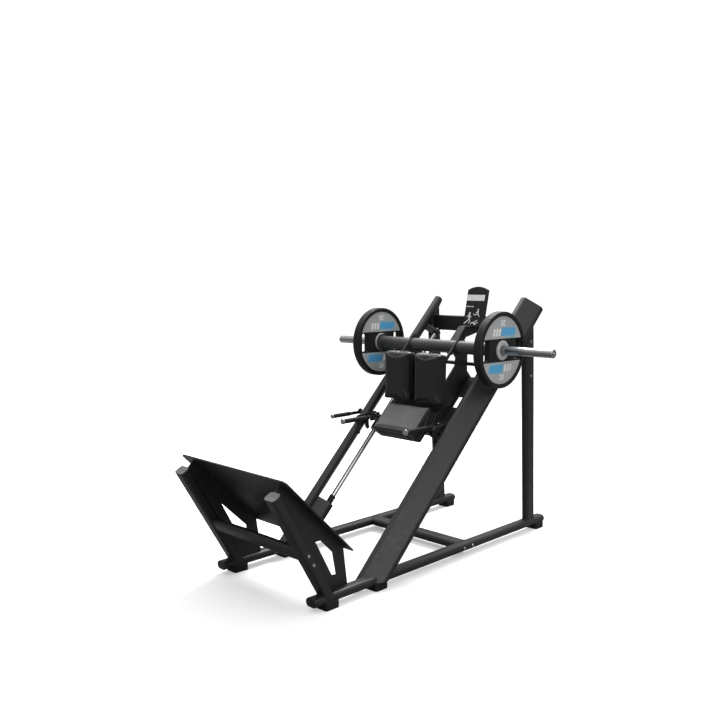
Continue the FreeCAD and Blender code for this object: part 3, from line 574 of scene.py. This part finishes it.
def surface_tree(mesh):
    points = [v.co for v in mesh.vertices]
    return BVHTree.FromPolygons(points, [p.vertices for p in mesh.polygons])


def seam_loop(low, high, height, corner, step=0.004):
    """A rounded rectangle around the cushion at one height, in the cushion's own frame."""
    points = []
    right, back = high.x - corner, high.y - corner
    left, front = low.x + corner, low.y + corner
    corners = ((right, back, 0), (left, back, 90), (left, front, 180), (right, front, 270))
    for x, y, start in corners:
        for k in range(7):
            angle = math.radians(start + 15 * k)
            across, along = corner * math.cos(angle), corner * math.sin(angle)
            points.append(Vector((x + across, y + along, height)))
    return smooth_loop(points, True, step)


def on_surface(tree, points, proud=0.0):
    laid = []
    for point in points:
        place, normal, _, _ = tree.find_nearest(point)
        laid.append((place + normal * proud, normal))
    return laid


def press_seam(mesh, loop, width=0.005, depth=0.0016):
    """Draws the skin in along a seam, where the two panels are sewn together."""
    tree = KDTree(len(loop))
    for i, point in enumerate(loop):
        tree.insert(point, i)
    tree.balance()
    for vertex in mesh.vertices:
        distance = tree.find(vertex.co)[2]
        if distance < width:
            vertex.co -= vertex.normal * depth * (1 - (distance / width) ** 2)


def stitches(bm, laid, count_step=2, length=0.0042, radius=0.00055):
    """A row of short thread stitches that lie on the skin."""
    for i in range(0, len(laid) - 1, count_step):
        (a, normal), (b, _) = laid[i], laid[(i + 1) % len(laid)]
        along = (b - a).normalized() * length / 2
        middle = (a + b) / 2
        points = [middle - along - normal * radius, middle - along * 0.5 + normal * radius * 0.6,
                  middle + along * 0.5 + normal * radius * 0.6, middle + along - normal * radius]
        tube_along(bm, points, False, radius, 6)


def cushion(node, turn, front, sides):
    """The stuffed piece that stands for a plain cushion block, with its welts and stitching."""
    low, high = local_box(node, turn)
    inset = Vector((BLOCK_INSET, BLOCK_INSET, 0.0))
    top = Vector((0, 0, BLOCK_TOP))
    bm = rounded_block(low + inset, high - inset - top, BLOCK_RADIUS)
    piece = link_object(node + "_cushion", mesh_from(bm))
    puffed(piece, low.z)
    mesh = piece.data
    middle = (low + high) / 2
    half = (high - low) / 2
    for vertex in mesh.vertices:
        x = (vertex.co.x - middle.x) / half.x
        y = (vertex.co.y - middle.y) / half.y
        rise = max(0.0, (vertex.co.z - low.z) / (high.z - low.z))
        vertex.co.z += CROWN * rise * max(0.0, 1 - x * x) * max(0.0, 1 - y * y)
        pull = 1 - SIDE_PULL * rise * (1 - min(1.0, abs(y))) ** 0.5
        vertex.co.x = middle.x + (vertex.co.x - middle.x) * pull
        vertex.co.z = min(vertex.co.z, high.z + CROWN_LIMIT)
    mesh.update()
    seam_height = high.z - FRONT_SEAM_DROP
    tree = surface_tree(mesh)
    front_loop, back_loop = (
        [place for place, _ in on_surface(tree, seam_loop(low, high, height, CORNER))]
        for height in (seam_height, low.z + BACK_SEAM_RISE))
    press_seam(mesh, front_loop)
    press_seam(mesh, back_loop)
    mesh.materials.append(sides)
    mesh.materials.append(front)
    for polygon in mesh.polygons:
        polygon.material_index = 1 if polygon.center.z > seam_height + 0.001 else 0
    mesh.update()
    tree = surface_tree(mesh)
    bm = bmesh.new()
    for loop in (front_loop, back_loop):
        tube_along(bm, [p for p, _ in on_surface(tree, loop, WELT_PROUD)], True, WELT_RADIUS, 10)
    welt = link_object(node + "_welt", mesh_from(bm), BLACK_VINYL)
    bm = bmesh.new()
    inset = Vector((STITCH_INSET, STITCH_INSET, 0))
    inner = seam_loop(low + inset, high - inset, high.z, CORNER * 0.7, STITCH_STEP / 2)
    outer = seam_loop(low, high, seam_height - STITCH_DROP, CORNER, STITCH_STEP / 2)
    for row in (inner, outer):
        stitches(bm, on_surface(tree, row, STITCH_PROUD))
    seam = link_object(node + "_stitching", mesh_from(bm), THREAD)
    for made in (piece, welt, seam):
        made.data.transform(turn)
        made.data.update()
        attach(made, body_of_node[node])
    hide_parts(node)


for side_name in ("left", "right"):
    cushion("shoulder_pad_" + side_name, UPRIGHT, BLACK_VINYL, BLACK_VINYL)
cushion("back_pad", SLOPE, GREY_VINYL, BLACK_VINYL)


# ---- ribbed rubber grips ----
RIB_STEP = 0.008
RIB_DEPTH = 0.0011
GRIP_END = 0.012


def ribbed_grips(node):
    """Turned rubber sleeves with rings for the fingers, one on each bar of the node."""
    plain, made = merged_mesh(node), bmesh.new()
    for group in islands(plain):
        low = [min(v.co[i] for v in group) for i in range(3)]
        high = [max(v.co[i] for v in group) for i in range(3)]
        start = Vector(((low[0] + high[0]) / 2, low[1], (low[2] + high[2]) / 2))
        radii = [math.hypot(v.co.x - start.x, v.co.z - start.z) for v in group]
        inner, outer, length = min(radii), max(radii), high[1] - low[1]
        lip = [(0, 0.8), (0.0012, 0.93), (0.0035, 1.0), (0.01, 1.0)]
        profile = [(0, inner)] + [(along, outer * part) for along, part in lip]
        for k in range(int((length - 2 * GRIP_END) / RIB_STEP)):
            rib = GRIP_END + k * RIB_STEP
            profile += [(rib, outer - RIB_DEPTH), (rib + RIB_STEP * 0.4, outer - RIB_DEPTH),
                        (rib + RIB_STEP * 0.58, outer), (rib + RIB_STEP * 0.85, outer)]
        profile += [(length - along, outer * part) for along, part in reversed(lip)]
        rings = lathe(made, profile + [(length, inner)], start, (0, 1, 0), 36)
        close_rings(made, rings[0], rings[-1])
    plain.free()
    bmesh.ops.recalc_face_normals(made, faces=made.faces[:])
    piece = piece_from(node + "_ribbed", made, RUBBER, body_of_node[node])
    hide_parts(node)


for node_name in ("handle_grips", "lever_grip"):
    ribbed_grips(node_name)


# ---- weld beads ----
WELD_REACH = 0.0008
WELD_STEP = 0.0035
WELD_RADIUS = 0.0032
WELD_CORNER = math.radians(20)
WELD_DIP = 0.8
WELDS = (
    ("rear_post_left", "base_rail_left"), ("rear_post_left", "main_beam_left"),
    ("main_beam_left", "base_rail_left"), ("foot_support_left", "base_rail_left"),
    ("base_crossbar", "base_rail_left"), ("foot_cross_tube", "foot_support_left"),
    ("foot_gusset_left", "foot_support_left"), ("foot_gusset_left", "foot_plate"),
    ("top_crossbeam", "rear_post_left"), ("spine_tube", "top_crossbeam"),
    ("rod_brackets", "main_beam_left"), ("carriage_cross_tubes", "side_plate_left"),
    ("side_plate_left", "weight_tube"),
)


def seam_chains(node, onto):
    """The lines where one part's edges lie on the skin of the part it is welded to."""
    part, other = merged_mesh(node), merged_mesh(onto)
    tree = BVHTree.FromBMesh(other)

    def touches(point):
        distance = tree.find_nearest(point, WELD_REACH * 4)[3]
        return distance is not None and distance < WELD_REACH

    chains, links = [], {}
    for edge in part.edges:
        sharp = len(edge.link_faces) != 2 or edge.calc_face_angle(0.0) > WELD_CORNER
        first, second = edge.verts
        on_skin = (first.co, second.co, (first.co + second.co) / 2)
        if sharp and all(touches(point) for point in on_skin):
            links.setdefault(first.index, []).append(second.index)
            links.setdefault(second.index, []).append(first.index)
    part.verts.ensure_lookup_table()
    ends = sorted(i for i in links if len(links[i]) == 1)
    for start in ends + sorted(links):
        chain = [start]
        while links[chain[-1]]:
            step = links[chain[-1]].pop(0)
            links[step].remove(chain[-1])
            chain.append(step)
        if len(chain) > 2:
            closed = chain[0] == chain[-1]
            ring = chain[:-1] if closed else chain
            chains.append(([part.verts[i].co.copy() for i in ring], closed))
    part.free()
    other.free()
    return chains


def weld(node, onto):
    made = bmesh.new()
    for points, closed in seam_chains(node, onto):
        beads = smooth_loop(points, closed, WELD_STEP)
        if len(beads) > 5:
            tube_along(made, beads, closed, lambda i: WELD_RADIUS * (1.0 if i % 2 else WELD_DIP), 8)
    if made.verts:
        coat = FRAME_COAT if body_of_node[onto] == "frame" else CARRIAGE_COAT
        piece_from(node + "_weld_to_" + onto, made, coat, body_of_node[onto])
    else:
        made.free()


for first_node, second_node in WELDS:
    weld(first_node, second_node)
    twins = (first_node.replace("_left", "_right"), second_node.replace("_left", "_right"))
    if twins != (first_node, second_node):
        weld(*twins)


# ---- printed graphics: a thin raised film of ink ----
INK_LIFT = 0.0001
INK_FILM = 0.0003
MM = 0.001


def film(bm, outline, place):
    """A closed sheet of ink; place(across, down, lift) puts a point of the artwork on the part."""
    lower = [bm.verts.new(place(across, down, INK_LIFT)) for across, down in outline]
    upper = [bm.verts.new(place(across, down, INK_LIFT + INK_FILM)) for across, down in outline]
    count = len(outline)
    bm.faces.new(upper)
    bm.faces.new(list(reversed(lower)))
    for i in range(count):
        k = (i + 1) % count
        bm.faces.new((lower[i], lower[k], upper[k], upper[i]))


def slanted(left, right, top, bottom, slant=0.22):
    shift = (bottom - top) * slant
    return [(left + shift, top), (right + shift, top), (right, bottom), (left, bottom)]


def capsule(start, end, width, steps=6):
    """The outline of a stroke with round ends; a stroke of no length is a dot."""
    angle = math.atan2(end[1] - start[1], end[0] - start[0])
    points = []
    for middle, turn in ((end, angle - math.pi / 2), (start, angle + math.pi / 2)):
        for k in range(steps + 1):
            way = turn + math.pi * k / steps
            points.append((middle[0] + width / 2 * math.cos(way),
                           middle[1] + width / 2 * math.sin(way)))
    return points


def number_shape(text, height):
    """The flat mesh of a number in the built-in font, centred; y is up."""
    data = bpy.data.curves.new("number", "FONT")
    data.body, data.align_x, data.align_y = text, "CENTER", "CENTER"
    data.size = height * 1.42
    data.offset = height * 0.03
    letters = link_object("number", data)
    mesh = evaluated_mesh(letters)
    bpy.data.objects.remove(letters)
    return mesh


def number_film(bm, mesh, down_middle, place):
    part = bmesh.new()
    part.from_mesh(mesh)
    bmesh.ops.remove_doubles(part, verts=part.verts, dist=1e-7)
    solid = bmesh.ops.extrude_face_region(part, geom=part.faces[:])
    for item in solid["geom"]:
        if isinstance(item, bmesh.types.BMVert):
            item.co.z = INK_FILM
    part.verts.index_update()
    copies = [bm.verts.new(place(v.co.x, down_middle - v.co.y, INK_LIFT + v.co.z))
              for v in part.verts]
    for face in part.faces:
        bm.faces.new([copies[v.index] for v in face.verts])
    part.free()


# The artwork of a plate, in millimetres from its middle: across, then outwards.
BLUE_BARS = (slanted(-128, 6, 84, 130),)
PALE_BARS = (slanted(-140, -132, 84, 118), slanted(-118, -30, 72, 80), slanted(-70, 10, 134, 140))
WHITE_BARS = (slanted(18, 36, 84, 126), slanted(45, 63, 84, 126), slanted(72, 90, 84, 126))
NUMBER = "20"
NUMBER_HEIGHT = 0.032
NUMBER_DOWN = 0.160


def plate_artwork(side_name):
    segments, disc = "plate_segments_" + side_name, "plate_disc_" + side_name
    low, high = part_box(segments)
    rim_low, rim_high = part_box(disc)
    middle_y, middle_z = (rim_low[1] + rim_high[1]) / 2, (rim_low[2] + rim_high[2]) / 2
    sheets = {"blue": (bmesh.new(), BLUE_INK, BLUE_BARS),
              "pale": (bmesh.new(), PALE_BLUE_INK, PALE_BARS),
              "white": (bmesh.new(), WHITE_INK, WHITE_BARS)}
    number = number_shape(NUMBER, NUMBER_HEIGHT)
    for face_x, facing in ((high[0], 1), (low[0], -1)):
        for half in (1, -1):
            def place(across, down, lift, face_x=face_x, facing=facing, half=half):
                return Vector((face_x + facing * lift, middle_y + facing * half * across,
                               middle_z - half * down))
            for bm, _, bars in sheets.values():
                for bar in bars:
                    film(bm, [(across * MM, down * MM) for across, down in bar], place)
            number_film(sheets["white"][0], number, NUMBER_DOWN, place)
    for colour, (bm, material, _) in sheets.items():
        bmesh.ops.recalc_face_normals(bm, faces=bm.faces[:])
        piece_from(f"plate_{colour}_ink_{side_name}", bm, material, body_of_node[disc],
                   False)


for side_name in ("left", "right"):
    plate_artwork(side_name)


# The board's artwork, in millimetres: across from its middle line, down from its top.
BOARD_STRIPE = [(-80, 55), (66, 55), (64, 94), (-80, 94)]
BOARD_DASHES = (((-72, 132), (-52, 133), 5), ((-46, 133), (-38, 133), 5),
                ((-32, 133), (-16, 134), 5))
LEFT_FIGURE = (((-38, 176), (-38, 176), 13), ((-40, 186), (-38, 208), 13),
               ((-42, 190), (-58, 200), 5), ((-36, 190), (-24, 204), 5),
               ((-38, 208), (-46, 226), 7), ((-46, 226), (-74, 246), 7),
               ((-36, 208), (-30, 226), 6), ((-30, 226), (-36, 246), 5))
RIGHT_FIGURE = (((26, 152), (26, 152), 10), ((28, 160), (27, 182), 10), ((26, 164), (12, 174), 5),
                ((26, 182), (6, 190), 6), ((6, 190), (-8, 182), 5), ((30, 180), (42, 198), 5))
LOW_FIGURE = (((0, 240), (0, 240), 12), ((6, 244), (14, 250), 9), ((-12, 238), (-22, 250), 5),
              ((8, 236), (30, 222), 5), ((16, 246), (34, 238), 5))


def board_artwork(node):
    mesh = nodes[node].data
    front = max((p for p in mesh.polygons if p.normal.y < -0.9), key=lambda p: p.area)
    across_axis, out = Vector((1, 0, 0)), front.normal.copy()
    up = out.cross(across_axis).normalized()
    top = max(v.co.dot(up) for v in mesh.vertices)
    depth = front.center.dot(out)

    def place(across, down, lift):
        return across_axis * across + up * (top - down) + out * (depth + lift)

    bm = bmesh.new()
    film(bm, [(across * MM, down * MM) for across, down in BOARD_STRIPE], place)
    for start, end, width in BOARD_DASHES + LEFT_FIGURE + RIGHT_FIGURE + LOW_FIGURE:
        film(bm, [(across * MM, down * MM) for across, down in capsule(start, end, width)], place)
    bmesh.ops.recalc_face_normals(bm, faces=bm.faces[:])
    piece_from("board_ink", bm, WHITE_INK, body_of_node[node], False)


board_artwork("sign_board")


# ---- stage, light and camera ----
def add_area(name, place, target, size, power):
    data = bpy.data.lights.new(name, "AREA")
    data.shape = "DISK"
    data.size = size
    data.energy = power
    lamp = bpy.data.objects.new(name, data)
    lamp.location = place
    lamp.rotation_euler = (Vector(target) - Vector(place)).to_track_quat("-Z", "Y").to_euler()
    bpy.context.scene.collection.objects.link(lamp)


FLOOR_BOUNCE = (0.22, 0.22, 0.22)
FLOOR_PALE = ((0.88, 0.88, 0.88), (0.9, 0.9, 0.9))
FLOOR_GLOW = 0.32
FLOOR_RADIUS = 60
FLOOR_DROP = 0.0005
BACKDROP = 1.05
# The sky's strength at each height of a direction, from straight down to straight up.
SKY = ((-1.0, 0.12), (0.0, 0.24), (0.35, 0.45), (0.75, 1.05), (1.0, 1.25))


def pale_floor():
    """White to the camera; it throws little light back up, so that undersides stay dark."""
    s = Surface("pale_floor")
    seen = s.add("ShaderNodeLightPath").outputs["Is Camera Ray"]
    pale = s.blend(s.spread(s.noise(0.6, 3), 0, 1), *FLOOR_PALE)
    s.colour(s.blend(seen, FLOOR_BOUNCE, pale))
    s.link(s.spread(seen, 0.0, FLOOR_GLOW, 0.0, 1.0), s.shader.inputs["Emission Strength"])
    s.set(Emission_Color=(1, 1, 1, 1), Specular_IOR_Level=0.1)
    s.rough(s.spread(s.noise(3, 2), 0.75, 0.85))
    bm = bmesh.new()
    bmesh.ops.create_circle(bm, cap_ends=True, segments=96, radius=FLOOR_RADIUS)
    floor = link_object("floor", mesh_from(bm), s.material)
    floor.location.z = -FLOOR_DROP


def studio():
    """A plain room: white to the camera, bright overhead and dim at the sides."""
    world = bpy.data.worlds.new("studio")
    world.use_nodes = True
    bpy.context.scene.world = world
    tree = world.node_tree
    background = tree.nodes["Background"]
    place = tree.nodes.new("ShaderNodeTexCoord")
    split = tree.nodes.new("ShaderNodeSeparateXYZ")
    ramp = tree.nodes.new("ShaderNodeFloatCurve")
    height = tree.nodes.new("ShaderNodeMapRange")
    height.inputs["From Min"].default_value = -1.0
    curve = ramp.mapping.curves[0]
    brightest = SKY[-1][1]
    points = [((level + 1) / 2, strength / brightest) for level, strength in SKY]
    for point, (x, y) in zip(curve.points, (points[0], points[-1])):
        point.location = (x, y)
    for x, y in points[1:-1]:
        curve.points.new(x, y)
    ramp.mapping.update()
    scale = tree.nodes.new("ShaderNodeMath")
    scale.operation = "MULTIPLY"
    scale.inputs[1].default_value = brightest
    seen = tree.nodes.new("ShaderNodeLightPath")
    mix = tree.nodes.new("ShaderNodeMix")
    mix.inputs["B"].default_value = BACKDROP
    tree.links.new(place.outputs["Generated"], split.inputs[0])
    tree.links.new(split.outputs["Z"], height.inputs["Value"])
    tree.links.new(height.outputs["Result"], ramp.inputs["Value"])
    tree.links.new(ramp.outputs["Value"], scale.inputs[0])
    tree.links.new(scale.outputs["Value"], mix.inputs["A"])
    tree.links.new(seen.outputs["Is Camera Ray"], mix.inputs["Factor"])
    tree.links.new(mix.outputs["Result"], background.inputs["Strength"])
    background.inputs["Color"].default_value = (1, 1, 1, 1)


pale_floor()
studio()
add_area("key", place=(-1.2, 2.2, 5.0), target=(0, 0, 0.4), size=2.8, power=350)
add_area("fill", place=(5.0, -2.0, 3.5), target=(0, 0, 0.7), size=3.0, power=60)

camera_data = bpy.data.cameras.new("camera")
camera_data.lens = CAMERA_LENS
camera_data.sensor_width = CAMERA_SENSOR
camera_data.shift_x, camera_data.shift_y = CAMERA_SHIFT
camera_data.clip_end = CAMERA_REACH
camera = bpy.data.objects.new("camera", camera_data)
camera.location = CAMERA_PLACE
camera.rotation_euler = CAMERA_TURN
bpy.context.scene.collection.objects.link(camera)
bpy.context.scene.camera = camera
bpy.context.scene.view_settings.view_transform = "Standard"
